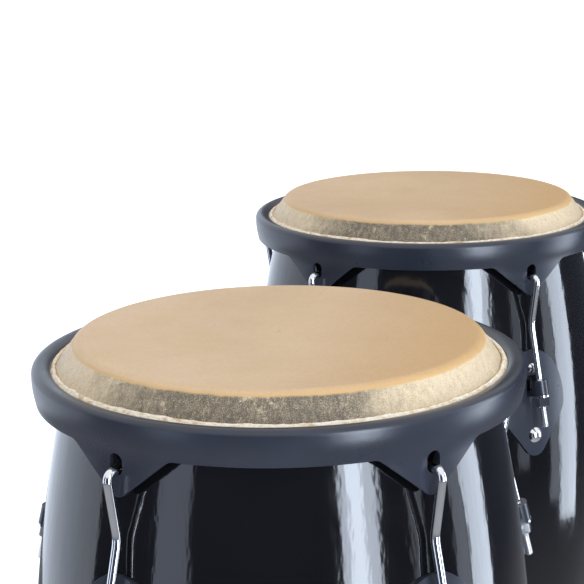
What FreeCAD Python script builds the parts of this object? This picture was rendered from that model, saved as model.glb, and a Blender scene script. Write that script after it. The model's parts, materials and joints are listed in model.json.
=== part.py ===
"""Two matching tall hand drums, each with a tucked skin head pulled down by a rimmed crown.

Millimetres, +Z up. The floor is z = 0, the drums stand side by side along X and the origin is
on the floor under the middle of their bounding box. Inside each drum, depths are measured down
from the flat top of its head, radii from its own axis, and the lugs are numbered anticlockwise
from above.
"""
import FreeCAD, Part
import os
from math import acos, asin, atan2, cos, degrees, pi, radians, sin, tan
from FreeCAD import Vector

# --- Driving dimensions -----------------------------------------------------------------------
DRUM_SPACING = 533.5          # between the two drum axes
SET_CENTRE = (-5.7, -11.4)    # x, y of the point midway between the axes; the lugs are not in line
SHELL_HEIGHT = 711.0          # from the bottom edge of the shell to the top of the head
BASE_RING_UNDER = 5.0         # rubber below the shell's bottom edge
LUGS = 5
FIRST_LUG_ANGLE = {"drum_1": 14.36, "drum_2": 9.72}   # degrees from +X, each drum as it stands

HEAD_FLAT_RADIUS = 133.5      # playing surface, up to the bearing edge
HEAD_BEND_RADIUS = 7.5        # outer radius of the skin over the bearing edge
HEAD_SLOPE = 54.0             # degrees below level, from the bearing edge to the flesh hoop
HEAD_END_DEPTH = 15.0         # where the fixed part of the slope stops
SKIN_THICKNESS = 1.8

HOOP_RADIUS = 159.2           # centreline of the flesh hoop inside the crown
HOOP_DEPTH = 25.2
HOOP_ROD_RADIUS = 3.5
TRIMMED_END = ((156.2, 22.8), (153.1, 20.8), (150.0, 17.2), (150.4, 16.3), (152.3, 16.2), (155.0, 18.8))

CROWN_SHEET = 2.7
CROWN_RADIUS = 167.4          # outside, at the widest
CROWN_RIDGE_DEPTH = 16.0
CROWN_SHOULDER_BEND = 4.6     # outside, from the ridge to the upright band
CROWN_FLANK_BEND = 16.0       # outside, from the ridge in to the lip
CROWN_FLANK_TURN = 29.0       # degrees of the flank's bend
CROWN_BAND_FOOT = 23.0        # depth where the band starts to curve in
CROWN_SKIRT_RADIUS = 164.5    # outside of the upright skirt that the ears end in
CROWN_SKIRT_DEPTH = 48.0      # where the skirt is upright
CROWN_EDGE_DEPTH = 39.8       # lower edge between two ears
EAR_HALF_WIDTH = 36.0
EAR_TIP_DEPTH = 69.0
EAR_TIP_RADIUS = 8.0
EAR_ROOT_FILLET = 9.0
SLOT_WIDTH = 10.0
SLOT_TOP_DEPTH = 40.3
SLOT_BOTTOM_DEPTH = 54.6

ROD_RADIUS = 3.0              # tension hooks
HOOK_LEVEL_DEPTH = 51.3       # where the rod goes level through the ear's slot
HOOK_END_RADIUS = 155.2       # the hook's tip, behind the ear
HOOK_UPRIGHT_RADIUS = 173.0   # where the bend turns down outside the ear
HOOK_OUTER_BEND = 5.5
HOOK_KINK_BEND = 25.0
HOOK_END_CHAMFER = 0.9
HOOK_KINK = (165.8, 96.0)     # radius, depth
HOOK_FOOT = (189.5, 187.0)    # radius, depth of the threaded end

SHELL_WALL = 10.0
SHELL_NECK = (141.2, 12.0)    # radius, depth just under the bearing edge
SHELL_BELLY = (176.8, 296.0)  # radius, depth at the widest
SHELL_FOOT = (113.0, SHELL_HEIGHT)

PLATE_SHEET = 2.5
PLATE_HALF_WIDTH = 37.3
PLATE_TOP_DEPTH = 120.0
PLATE_WIDE_DEPTH = 170.0
PLATE_TIP_DEPTH = 218.0
PLATE_TIP_RADIUS = 12.0
PLATE_CORNER_RADIUS = 20.0
WINDOW_WIDTH = 14.6
WINDOW_DEPTHS = (143.0, 158.0)
TAB_DEPTH = 157.5             # where the rod's axis crosses the middle of the tab
TAB_SHEET = 3.0
TAB_WIDTH = 14.6
TAB_HOLE_RADIUS = 3.4
TAB_LENGTH = 20.0             # from the hole inwards, through the plate
EYE_HEIGHT = 13.5             # rolled eye round the rod, from the underside of the tab

WASHER_RADIUS = 7.5
WASHER_THICKNESS = 1.6
NUT_ACROSS_FLATS = 11.0
NUT_HEIGHT = 8.4
NUT_BORE_RADIUS = 3.3
NUT_SHOULDER = 0.8            # height of the turned-off corners at each end

UPPER_BOLT_DEPTH = 137.0
UPPER_BOLT_HEAD_RADIUS = 4.6
LOWER_BOLT_DEPTH = 199.0
LOWER_BOLT_HEAD_RADIUS = 7.2
BOLT_RADIUS = 2.5
BOLT_INSIDE_LENGTH = 9.0      # past the inner face of the shell
BOLT_DOME = 0.55              # rise of a head as a share of its radius
BACKING_GAP = 0.3             # flat washers against the hollow of the shell
BACKING_WASHER_RADIUS = 7.0
BACKING_WASHER_THICKNESS = 1.4
BACKING_NUT_ACROSS_FLATS = 9.0
BACKING_NUT_HEIGHT = 4.0

BASE_RING_TOP = 22.0          # above the floor
BASE_RING_COVER = 4.0         # rubber inside the shell's bottom edge
BASE_RING_LIP = 6.0           # rubber outside it
BASE_RING_FILLET = 2.0

BEARING_EDGE = ((3.0, 1.6), (1.0, 0.3), (0.0, 0.0), (-2.0, 0.0))   # past the flat, below the skin

CLEARANCE = 0.1               # between stacked pieces that do not cut into each other
CUTTER_SPARE = 20.0           # how far a cutting or trimming solid goes past what it cuts
FULL_TURN = 360.0

# --- Values worked out from them --------------------------------------------------------------
HEAD_TOP = BASE_RING_UNDER + SHELL_HEIGHT
ROD_TILT = degrees(atan2(HOOK_FOOT[0] - HOOK_KINK[0], HOOK_FOOT[1] - HOOK_KINK[1]))
DRUM_X = {"drum_1": SET_CENTRE[0] - DRUM_SPACING / 2, "drum_2": SET_CENTRE[0] + DRUM_SPACING / 2}
UP = Vector(0, 0, 1)


def at(radius, depth):
    """Point in a drum's XZ half plane, from its radius and its depth under the head."""
    return Vector(radius, 0, HEAD_TOP - depth)


def tilted(radius, depth, across, along):
    """Point beside one on the rod's axis: across it (outwards and up) and along it (upwards)."""
    tilt = radians(ROD_TILT)
    point = at(radius, depth)
    outwards = Vector(cos(tilt), 0, sin(tilt))
    upwards = Vector(-sin(tilt), 0, cos(tilt))
    return point + outwards * across + upwards * along


def rod_radius_at(depth):
    """Radius at which the rod's straight lower run crosses a depth."""
    return HOOK_KINK[0] + (depth - HOOK_KINK[1]) * tan(radians(ROD_TILT))


def line(start, end):
    return Part.LineSegment(start, end).toShape()


def arc(centre, radius, start_angle, end_angle):
    """Arc in the XZ plane, angles in degrees from +X towards +Z."""
    points = []
    for angle in (start_angle, (start_angle + end_angle) / 2, end_angle):
        turn = radians(angle)
        points.append(centre + Vector(radius * cos(turn), 0, radius * sin(turn)))
    return Part.Arc(*points).toShape()


def face_of(edges):
    wire = Part.Wire(Part.__sortEdges__(edges))
    return Part.Face(wire)


def spun(face):
    """Solid of revolution about the drum's axis, its faces turned outwards."""
    solid = face.revolve(Vector(0, 0, 0), UP, FULL_TURN)
    if solid.Volume < 0:
        solid.reverse()
    return solid


def cylinder(radius, height, base, direction):
    return Part.makeCylinder(radius, height, base, direction)


def hexagon_prism(across_flats, height, base, direction):
    """Hexagonal bar from a base point along a direction."""
    corner = across_flats / 2 / cos(pi / 6)
    corners = [Vector(corner * cos(k * pi / 3), corner * sin(k * pi / 3), 0) for k in range(7)]
    prism = Part.Face(Part.makePolygon(corners)).extrude(Vector(0, 0, height))
    prism.Placement = FreeCAD.Placement(base, FreeCAD.Rotation(UP, direction))
    return prism


# --- Head -------------------------------------------------------------------------------------
def slope_point(surface_radius, depth):
    """Point on the sloping run of the skin, on the surface with the given bend radius."""
    slope = radians(HEAD_SLOPE)
    radius = HEAD_FLAT_RADIUS + surface_radius * sin(slope)
    start_depth = HEAD_BEND_RADIUS - surface_radius * cos(slope)
    return at(radius + (depth - start_depth) / tan(slope), depth)


def head_skin():
    """Playing surface, bent over the bearing edge and down the slope to the top of the tuck."""
    bend_centre = at(HEAD_FLAT_RADIUS, HEAD_BEND_RADIUS)
    inner_bend = HEAD_BEND_RADIUS - SKIN_THICKNESS
    top = slope_point(HEAD_BEND_RADIUS, HEAD_END_DEPTH)
    under = slope_point(inner_bend, HEAD_END_DEPTH)
    outer_arc = arc(bend_centre, HEAD_BEND_RADIUS, 90, 90 - HEAD_SLOPE)
    inner_arc = arc(bend_centre, inner_bend, 90, 90 - HEAD_SLOPE)
    edges = [
        line(at(0, 0), at(HEAD_FLAT_RADIUS, 0)),
        outer_arc,
        line(outer_arc.Vertexes[-1].Point, top),
        line(top, under),
        line(under, inner_arc.Vertexes[-1].Point),
        inner_arc,
        line(inner_arc.Vertexes[0].Point, at(0, SKIN_THICKNESS)),
        line(at(0, SKIN_THICKNESS), at(0, 0)),
    ]
    return spun(face_of(edges))


def flesh_hoop():
    """Steel ring that the wet skin is lapped around."""
    return Part.makeTorus(HOOP_RADIUS, HOOP_ROD_RADIUS, Vector(0, 0, HEAD_TOP - HOOP_DEPTH))


def skin_tuck():
    """Skin lapped around the flesh hoop, with its trimmed end standing up inside the crown."""
    lap = Part.makeTorus(HOOP_RADIUS, HOOP_ROD_RADIUS + SKIN_THICKNESS,
                         Vector(0, 0, HEAD_TOP - HOOP_DEPTH))
    corners = [at(*corner) for corner in TRIMMED_END]
    end = spun(Part.Face(Part.makePolygon(corners + corners[:1])))
    return lap.fuse(end).cut(flesh_hoop()).removeSplitter()


# --- Crown ------------------------------------------------------------------------------------
def crown_side(inset):
    """One surface of the crown's sheet, from its lip over the ridge down past the ears' tips."""
    ridge_radius = CROWN_RADIUS - CROWN_SHOULDER_BEND
    height = CROWN_SKIRT_DEPTH - CROWN_BAND_FOOT
    step = CROWN_RADIUS - CROWN_SKIRT_RADIUS
    curl = (height ** 2 + step ** 2) / (4 * step)
    turn = degrees(acos(1 - step / 2 / curl))
    flank_centre = at(ridge_radius, CROWN_RIDGE_DEPTH + CROWN_FLANK_BEND)
    shoulder_centre = at(ridge_radius, CROWN_RIDGE_DEPTH + CROWN_SHOULDER_BEND)
    band_radius = CROWN_RADIUS - inset
    skirt_radius = CROWN_SKIRT_RADIUS - inset
    return [
        arc(flank_centre, CROWN_FLANK_BEND - inset, 90 + CROWN_FLANK_TURN, 90),
        arc(shoulder_centre, CROWN_SHOULDER_BEND - inset, 90, 0),
        line(at(band_radius, CROWN_RIDGE_DEPTH + CROWN_SHOULDER_BEND), at(band_radius, CROWN_BAND_FOOT)),
        arc(at(CROWN_RADIUS - curl, CROWN_BAND_FOOT), curl - inset, 0, -turn),
        arc(at(CROWN_SKIRT_RADIUS + curl, CROWN_SKIRT_DEPTH), curl + inset, 180 - turn, 180),
        line(at(skirt_radius, CROWN_SKIRT_DEPTH), at(skirt_radius, EAR_TIP_DEPTH + 1)),
    ]


def ear_outline():
    """Ear seen from outside (Y across, Z up): straight sides to a rounded tip, on a wide root."""
    slope = atan2(EAR_TIP_DEPTH - CROWN_EDGE_DEPTH, EAR_HALF_WIDTH)
    tip_y = EAR_TIP_RADIUS * sin(slope)
    tip_z = HEAD_TOP - EAR_TIP_DEPTH + EAR_TIP_RADIUS * (1 - cos(slope))
    edge_z = HEAD_TOP - CROWN_EDGE_DEPTH
    root_y = tip_y + (edge_z - tip_z) / tan(slope)
    run = EAR_ROOT_FILLET * tan(slope / 2)
    top_z = edge_z + CUTTER_SPARE
    tip = [Vector(0, tip_y, tip_z), Vector(0, 0, HEAD_TOP - EAR_TIP_DEPTH), Vector(0, -tip_y, tip_z)]
    edges = [Part.Arc(*tip).toShape()]
    for side in (1, -1):
        on_slope = Vector(0, side * (root_y - run * cos(slope)), edge_z - run * sin(slope))
        on_edge = Vector(0, side * (root_y + run), edge_z)
        centre = on_edge - UP * EAR_ROOT_FILLET
        middle = centre + Vector(0, -side * sin(slope / 2), cos(slope / 2)) * EAR_ROOT_FILLET
        edges.append(line(Vector(0, side * tip_y, tip_z), on_slope))
        edges.append(Part.Arc(on_slope, middle, on_edge).toShape())
        edges.append(line(on_edge, Vector(0, side * (root_y + run), top_z)))
    edges.append(line(Vector(0, root_y + run, top_z), Vector(0, -root_y - run, top_z)))
    return edges


def gap_cutter(first_angle):
    """What is cut away below the crown's edge so that only the ears are left."""
    ear = face_of(ear_outline()).extrude(Vector(CROWN_RADIUS + CUTTER_SPARE, 0, 0))
    ears = [turned(ear, lug_angle(first_angle, lug)) for lug in range(LUGS)]
    depth = EAR_TIP_DEPTH + CUTTER_SPARE
    disc = cylinder(CROWN_RADIUS + CUTTER_SPARE / 2, depth - CROWN_EDGE_DEPTH, at(0, depth), UP)
    return disc.cut(Part.makeCompound(ears))


def slot_cutter():
    """Upright slot with round ends through one ear, at angle zero."""
    half = SLOT_WIDTH / 2
    reach = CUTTER_SPARE
    start = CROWN_SKIRT_RADIUS - reach / 2
    height = SLOT_BOTTOM_DEPTH - SLOT_TOP_DEPTH - SLOT_WIDTH
    low = Vector(start, 0, HEAD_TOP - SLOT_BOTTOM_DEPTH + half)
    block = Part.makeBox(reach, SLOT_WIDTH, height, low - Vector(0, half, 0))
    ends = [cylinder(half, reach, low + Vector(0, 0, rise), Vector(1, 0, 0)) for rise in (0, height)]
    return block.fuse(ends)


def crown(first_angle):
    """Pressed rim: a rolled ridge over the flesh hoop and a skirt with one slotted ear per lug."""
    outer = crown_side(0)
    inner = crown_side(CROWN_SHEET)
    lip = line(inner[0].Vertexes[0].Point, outer[0].Vertexes[0].Point)
    foot = line(outer[-1].Vertexes[-1].Point, inner[-1].Vertexes[-1].Point)
    ring = spun(face_of(outer + inner + [lip, foot])).cut(gap_cutter(first_angle))
    slots = [turned(slot_cutter(), lug_angle(first_angle, lug)) for lug in range(LUGS)]
    return ring.cut(Part.makeCompound(slots)).removeSplitter()


# --- Tension hooks and nuts -------------------------------------------------------------------
def hook_path():
    """Centreline of a hook: level run through the ear, outer bend, kink and threaded run."""
    lean = atan2(HOOK_UPRIGHT_RADIUS - HOOK_KINK[0], HOOK_KINK[1] - HOOK_LEVEL_DEPTH)
    corners = [
        at(HOOK_END_RADIUS, HOOK_LEVEL_DEPTH),
        at(HOOK_UPRIGHT_RADIUS + HOOK_OUTER_BEND * sin(lean) / 2, HOOK_LEVEL_DEPTH),
        at(*HOOK_KINK),
        at(*HOOK_FOOT),
    ]
    return rounded_path(corners, (HOOK_OUTER_BEND, HOOK_KINK_BEND))


def rounded_path(corners, bends):
    """Wire through a list of corners, with an arc of the given radius at each inner one."""
    edges = []
    start = corners[0]
    for before, corner, after, bend in zip(corners, corners[1:], corners[2:], bends):
        to_before = (before - corner).normalize()
        to_after = (after - corner).normalize()
        half_angle = acos(to_before.dot(to_after)) / 2
        reach = bend / tan(half_angle)
        bisector = (to_before + to_after).normalize()
        arc_start = corner + to_before * reach
        arc_end = corner + to_after * reach
        arc_middle = corner + bisector * (bend / sin(half_angle) - bend)
        edges.append(line(start, arc_start))
        edges.append(Part.Arc(arc_start, arc_middle, arc_end).toShape())
        start = arc_end
    edges.append(line(start, corners[-1]))
    return Part.Wire(edges)


def tension_hook():
    """Round rod bent into a hook, with chamfered ends."""
    path = hook_path()
    start = path.Edges[0]
    direction = start.tangentAt(start.FirstParameter)
    section = Part.Wire(Part.makeCircle(ROD_RADIUS, start.Vertexes[0].Point, direction))
    rod = path.makePipeShell([section], True, False)
    ends = (at(*HOOK_FOOT), at(HOOK_END_RADIUS, HOOK_LEVEL_DEPTH))
    rims = [edge for edge in rod.Edges for end in ends if edge.CenterOfMass.distanceToPoint(end) < 0.5]
    return rod.makeChamfer(HOOK_END_CHAMFER, rims)


def on_rod(along):
    """Point on the rod's axis, a distance above the underside of the side plate's tab."""
    return tilted(rod_radius_at(TAB_DEPTH), TAB_DEPTH, 0, along - TAB_SHEET / 2)


def rod_direction():
    """Unit vector down along the rod's lower run."""
    return tilted(0, 0, 0, -1) - tilted(0, 0, 0, 0)


def tuning_washer():
    washer = cylinder(WASHER_RADIUS, WASHER_THICKNESS, on_rod(-CLEARANCE), rod_direction())
    return washer.cut(cylinder(TAB_HOLE_RADIUS, WASHER_THICKNESS, on_rod(-CLEARANCE), rod_direction()))


def tuning_nut():
    """Hexagonal nut under the tab, with its corners turned off at both ends."""
    down = rod_direction()
    top = on_rod(-2 * CLEARANCE - WASHER_THICKNESS)
    nut = hexagon_prism(NUT_ACROSS_FLATS, NUT_HEIGHT, top, down)
    corner = NUT_ACROSS_FLATS / 2 / cos(pi / 6)
    turned_bar = cylinder(corner + 1, NUT_HEIGHT - 2 * NUT_SHOULDER, top + down * NUT_SHOULDER, down)
    for base, direction in ((NUT_SHOULDER, down * -1), (NUT_HEIGHT - NUT_SHOULDER, down)):
        cone = Part.makeCone(corner + 0.25 * NUT_SHOULDER, corner - 1.25 * NUT_SHOULDER, NUT_SHOULDER,
                             top + down * base, direction)
        turned_bar = turned_bar.fuse(cone)
    return nut.common(turned_bar).cut(cylinder(NUT_BORE_RADIUS, NUT_HEIGHT, top, down))


# --- Shell and base ---------------------------------------------------------------------------
def swell(end):
    """Radius of the arc that leaves the belly upright and reaches one end of the shell."""
    rise = end[1] - SHELL_BELLY[1]
    run = SHELL_BELLY[0] - end[0]
    return (rise ** 2 + run ** 2) / (2 * run)


def shell_point(end, depth, offset):
    """Point at a depth on the neck's or the foot's arc, shifted outwards by an offset."""
    arc_radius = swell(end) + offset
    reach = (arc_radius ** 2 - (depth - SHELL_BELLY[1]) ** 2) ** 0.5
    return at(SHELL_BELLY[0] - swell(end) + reach, depth)


def shell_side(offset):
    """One face of the shell as two arcs, from the neck over the belly to the foot."""
    arcs = []
    for end in (SHELL_NECK, SHELL_FOOT):
        middle = (end[1] + SHELL_BELLY[1]) / 2
        points = [shell_point(end, depth, offset) for depth in (end[1], middle, SHELL_BELLY[1])]
        arcs.append(Part.Arc(*points).toShape())
    return arcs


def shell_wall(inner_offset, outer_offset, rim=()):
    """Solid between two faces of the shell, with a rim of extra corners above the neck."""
    outer = shell_point(SHELL_NECK, SHELL_NECK[1], outer_offset)
    inner = shell_point(SHELL_NECK, SHELL_NECK[1], inner_offset)
    corners = [outer] + [at(*corner) for corner in rim] + [inner]
    bottom = [shell_point(SHELL_FOOT, SHELL_FOOT[1], offset) for offset in (inner_offset, outer_offset)]
    edges = shell_side(outer_offset) + shell_side(inner_offset) + [line(*bottom)]
    edges += [line(start, end) for start, end in zip(corners, corners[1:])]
    return spun(face_of(edges))


def shell(first_angle):
    """Tapered wooden shell, open at both ends, drilled for the plate bolts."""
    top = SKIN_THICKNESS + CLEARANCE
    bearing_edge = [(HEAD_FLAT_RADIUS + outwards, top + drop) for outwards, drop in BEARING_EDGE]
    body = shell_wall(-SHELL_WALL, 0, bearing_edge)
    for lug in range(LUGS):
        for depth in (UPPER_BOLT_DEPTH, LOWER_BOLT_DEPTH):
            drill = bolt_cylinder(BOLT_RADIUS + CLEARANCE, depth, -2 * SHELL_WALL, SHELL_WALL)
            body = body.cut(turned(drill, lug_angle(first_angle, lug)))
    return body


def base_ring():
    """Rubber ring that the shell's bottom edge stands in."""
    bottom_radius = SHELL_FOOT[0]
    inner = bottom_radius - SHELL_WALL - BASE_RING_COVER
    outer = bottom_radius + BASE_RING_LIP
    ring = cylinder(outer, BASE_RING_TOP, Vector(0, 0, 0), UP)
    ring = ring.cut(cylinder(inner, BASE_RING_TOP, Vector(0, 0, 0), UP))
    round_edges = [edge for edge in ring.Edges if edge.Length > 2 * pi * inner - 1]
    ring = ring.makeFillet(BASE_RING_FILLET, round_edges)
    return ring.cut(shell_wall(-SHELL_WALL, 0))


# --- Side plates and their bolts --------------------------------------------------------------
def square_to_shell(depth):
    """Point on the shell's outer face at a depth above the belly, and the way out from it."""
    lean = asin((SHELL_BELLY[1] - depth) / swell(SHELL_NECK))
    return shell_point(SHELL_NECK, depth, 0), Vector(cos(lean), 0, sin(lean))


def bolt_cylinder(radius, depth, inwards, outwards):
    """Cylinder square to the shell at a depth, between two distances from its outer face."""
    surface, direction = square_to_shell(depth)
    return cylinder(radius, outwards - inwards, surface + direction * inwards, direction)


def outer_tangent(centre_1, radius_1, centre_2, radius_2):
    """Points where a line on the +Y side touches two circles, each centre being (y, depth)."""
    run_y = centre_2[0] - centre_1[0]
    run_depth = centre_2[1] - centre_1[1]
    run_angle = atan2(run_y, run_depth)
    lean = acos((radius_1 - radius_2) / (run_y ** 2 + run_depth ** 2) ** 0.5)
    y, depth = sin(run_angle + lean), cos(run_angle + lean)
    return ((centre_1[0] + radius_1 * y, centre_1[1] + radius_1 * depth),
            (centre_2[0] + radius_2 * y, centre_2[1] + radius_2 * depth))


def plate_outline():
    """Shield seen from outside: half an ellipse above, straight sides to a round tip below."""
    wide = HEAD_TOP - PLATE_WIDE_DEPTH
    corner = (PLATE_HALF_WIDTH - PLATE_CORNER_RADIUS, PLATE_WIDE_DEPTH)
    tip = (0, PLATE_TIP_DEPTH - PLATE_TIP_RADIUS)
    upper, lower = outer_tangent(corner, PLATE_CORNER_RADIUS, tip, PLATE_TIP_RADIUS)
    middle_angle = atan2(upper[0] - corner[0], upper[1] - corner[1]) / 2 + pi / 4
    middle = (corner[0] + PLATE_CORNER_RADIUS * sin(middle_angle),
              corner[1] + PLATE_CORNER_RADIUS * cos(middle_angle))

    def p(point, side):
        return Vector(0, side * point[0], HEAD_TOP - point[1])

    top = Part.Ellipse(Vector(0, 0, HEAD_TOP - PLATE_TOP_DEPTH), Vector(0, PLATE_HALF_WIDTH, wide),
                       Vector(0, 0, wide))
    edges = [Part.Arc(top, -pi / 2, pi / 2).toShape()]
    for side in (1, -1):
        edges.append(Part.Arc(p((PLATE_HALF_WIDTH, PLATE_WIDE_DEPTH), side), p(middle, side),
                              p(upper, side)).toShape())
        edges.append(line(p(upper, side), p(lower, side)))
    edges.append(Part.Arc(p(lower, 1), p((0, PLATE_TIP_DEPTH), 1), p(lower, -1)).toShape())
    return edges


def side_plate():
    """Curved plate bolted to the shell, with a window and a tab that holds one tension rod."""
    skin = shell_wall(CLEARANCE, CLEARANCE + PLATE_SHEET)
    prism = face_of(plate_outline()).extrude(Vector(SHELL_BELLY[0] + CUTTER_SPARE, 0, 0))
    window = Part.makeBox(2 * CUTTER_SPARE, WINDOW_WIDTH, WINDOW_DEPTHS[1] - WINDOW_DEPTHS[0],
                          Vector(SHELL_BELLY[0] - CUTTER_SPARE, -WINDOW_WIDTH / 2,
                                 HEAD_TOP - WINDOW_DEPTHS[1]))
    plate = skin.common(prism).cut(window)
    for depth in (UPPER_BOLT_DEPTH, LOWER_BOLT_DEPTH):
        plate = plate.cut(bolt_cylinder(BOLT_RADIUS + CLEARANCE, depth, -1, PLATE_SHEET + 2))
    return plate.fuse(plate_tab()).removeSplitter()


def plate_tab():
    """Shelf square to the rod, rooted in the plate under its window, that ends in a tall eye."""
    half = TAB_WIDTH / 2
    hole_centre = tilted(rod_radius_at(TAB_DEPTH), TAB_DEPTH, 0, -TAB_SHEET / 2)
    up = tilted(0, 0, 0, 1) - tilted(0, 0, 0, 0)
    inwards = tilted(0, 0, -1, 0) - tilted(0, 0, 0, 0)
    eye = cylinder(half, EYE_HEIGHT, hole_centre, up)
    hole = cylinder(TAB_HOLE_RADIUS, EYE_HEIGHT + 2 * TAB_SHEET, hole_centre - up * TAB_SHEET, up)
    side = Vector(0, half, 0)
    corners = [hole_centre + side, hole_centre - side,
               hole_centre - side + inwards * TAB_LENGTH, hole_centre + side + inwards * TAB_LENGTH]
    strip = Part.Face(Part.makePolygon(corners + corners[:1])).extrude(up * TAB_SHEET)
    return eye.fuse(strip).cut(hole).cut(shell_wall(-2 * SHELL_WALL, CLEARANCE))


def domed_head(radius, depth):
    """Low domed bolt head on the plate at a depth, as a slice of a ball."""
    surface, direction = square_to_shell(depth)
    seat = surface + direction * (2 * CLEARANCE + PLATE_SHEET)
    rise = BOLT_DOME * radius
    ball_radius = (radius ** 2 + rise ** 2) / (2 * rise)
    ball = Part.makeSphere(ball_radius, seat + direction * (rise - ball_radius))
    return ball.common(cylinder(radius + 1, rise + 1, seat, direction))


def plate_bolt(depth, head_radius):
    shank = bolt_cylinder(BOLT_RADIUS, depth, -SHELL_WALL - BOLT_INSIDE_LENGTH, PLATE_SHEET + 1)
    return shank.fuse(domed_head(head_radius, depth)).removeSplitter()


def backing_washer(depth):
    outer_face = -SHELL_WALL - BACKING_GAP
    ring = bolt_cylinder(BACKING_WASHER_RADIUS, depth, outer_face - BACKING_WASHER_THICKNESS, outer_face)
    return ring.cut(bolt_cylinder(BOLT_RADIUS + CLEARANCE, depth, -2 * SHELL_WALL, 0))


def backing_nut(depth):
    surface, outwards = square_to_shell(depth)
    washer_face = SHELL_WALL + BACKING_GAP + BACKING_WASHER_THICKNESS
    base = surface - outwards * (washer_face + CLEARANCE)
    nut = hexagon_prism(BACKING_NUT_ACROSS_FLATS, BACKING_NUT_HEIGHT, base, outwards * -1)
    return nut.cut(bolt_cylinder(BOLT_RADIUS + CLEARANCE, depth, -4 * SHELL_WALL, 0))


# --- Assembly ---------------------------------------------------------------------------------
def lug_angle(first_angle, lug):
    return first_angle + lug * FULL_TURN / LUGS


def turned(shape, angle):
    """Copy of a shape turned about the drum's axis."""
    copy = shape.copy()
    copy.rotate(Vector(0, 0, 0), UP, angle)
    return copy


def grouped(solids, first_angle):
    """The same pieces repeated at every lug, as one group of separate solids."""
    copies = []
    for lug in range(LUGS):
        copies += [turned(solid, lug_angle(first_angle, lug)) for solid in solids]
    return Part.makeCompound(copies)


def write(name, shape, drum):
    placed = shape.copy()
    placed.translate(Vector(DRUM_X[drum], SET_CENTRE[1], 0))
    placed.exportStep(os.path.join("parts", drum + "_" + name + ".step"))


def write_drum(drum):
    first_angle = FIRST_LUG_ANGLE[drum]
    bolt_rows = ((UPPER_BOLT_DEPTH, UPPER_BOLT_HEAD_RADIUS), (LOWER_BOLT_DEPTH, LOWER_BOLT_HEAD_RADIUS))
    write("shell", shell(first_angle), drum)
    write("base_ring", base_ring(), drum)
    write("head_skin", head_skin(), drum)
    write("skin_tuck", skin_tuck(), drum)
    write("flesh_hoop", flesh_hoop(), drum)
    write("crown", crown(first_angle), drum)
    write("tuning_washers", grouped([tuning_washer()], first_angle), drum)
    write("plate_bolts", grouped([plate_bolt(*row) for row in bolt_rows], first_angle), drum)
    write("backing_washers", grouped([backing_washer(row[0]) for row in bolt_rows], first_angle), drum)
    write("backing_nuts", grouped([backing_nut(row[0]) for row in bolt_rows], first_angle), drum)
    repeated = {"tension_hook": tension_hook(), "tuning_nut": tuning_nut(), "side_plate": side_plate()}
    for lug in range(LUGS):
        for name, shape in repeated.items():
            write(name + "_" + str(lug + 1), turned(shape, lug_angle(first_angle, lug)), drum)


def main():
    os.makedirs("parts", exist_ok=True)
    for drum in DRUM_X:
        write_drum(drum)


main()
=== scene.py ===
"""Looks for a set of two tall hand drums: skins, pressed rims, threaded hooks, lacquer and chrome."""
import json
import math

import bpy
import numpy as np
from mathutils import Matrix, Vector


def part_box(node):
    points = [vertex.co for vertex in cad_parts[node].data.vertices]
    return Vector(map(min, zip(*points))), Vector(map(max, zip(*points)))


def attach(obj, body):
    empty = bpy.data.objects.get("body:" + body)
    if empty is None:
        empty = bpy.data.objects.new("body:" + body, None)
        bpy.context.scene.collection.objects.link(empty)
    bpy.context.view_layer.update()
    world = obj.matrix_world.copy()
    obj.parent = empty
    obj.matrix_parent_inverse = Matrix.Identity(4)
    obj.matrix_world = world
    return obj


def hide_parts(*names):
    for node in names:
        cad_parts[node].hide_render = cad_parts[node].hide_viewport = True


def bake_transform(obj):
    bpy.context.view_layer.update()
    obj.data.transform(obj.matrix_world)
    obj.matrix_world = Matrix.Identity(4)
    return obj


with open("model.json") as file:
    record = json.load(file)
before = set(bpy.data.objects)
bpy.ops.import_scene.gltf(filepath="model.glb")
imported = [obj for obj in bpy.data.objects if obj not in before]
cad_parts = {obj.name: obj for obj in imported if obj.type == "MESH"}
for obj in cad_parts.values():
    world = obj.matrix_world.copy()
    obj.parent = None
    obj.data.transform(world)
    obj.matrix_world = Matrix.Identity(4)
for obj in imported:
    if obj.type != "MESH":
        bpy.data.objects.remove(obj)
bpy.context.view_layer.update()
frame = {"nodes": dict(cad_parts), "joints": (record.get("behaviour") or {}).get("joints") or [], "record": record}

DRUMS = ("drum_1", "drum_2")
LUGS = range(1, 6)
FULL_TURN = 2 * math.pi
FIRST_SEED = 7                          # random draws of the first drum's head
DRUM_SEED_STEP = 100
LAP_SEED_STEP = 10                      # the lap draws three times, from this one on

# --- Sizes of the drum, in metres; depths are measured down from the flat of the head ----------
HEAD_FLAT_RADIUS = 0.1335               # playing surface, up to the bearing edge
HEAD_BEND_RADIUS = 0.0075
HEAD_SLOPE = math.radians(54)
HEAD_END_DEPTH = 0.0230
PUCKER_DEPTHS = (0.0040, 0.0160)        # the slope's waviness grows between these
HEAD_CENTRE_GAP = 0.0004                # radius of the pinhole that the section turns round
PUCKER = 0.00022                        # waviness of the slope
SKIN = 0.0018

HOOP_RADIUS = 0.1592
HOOP_DEPTH = 0.0252
HOOP_ROD = 0.0035
HOOP_GAP = 0.00005                      # between the hoop and the skin round it
LAP = HOOP_ROD + SKIN
LAP_TURN = (math.radians(128), math.radians(-140))
TRIM_ROOT = np.array([0.1547, 0.0212])  # where the trimmed end leaves the hoop
TRIM_ALONG = np.array([-0.62, -0.785])  # direction it stands up in
TRIM_ACROSS = np.array([0.785, -0.62])
TRIM_LENGTH = (0.0055, 0.00045)         # mean and unevenness
TRIM_HALF_WIDTH = (0.00115, 0.00022)
TRIM_SWAY = 0.0002

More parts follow.
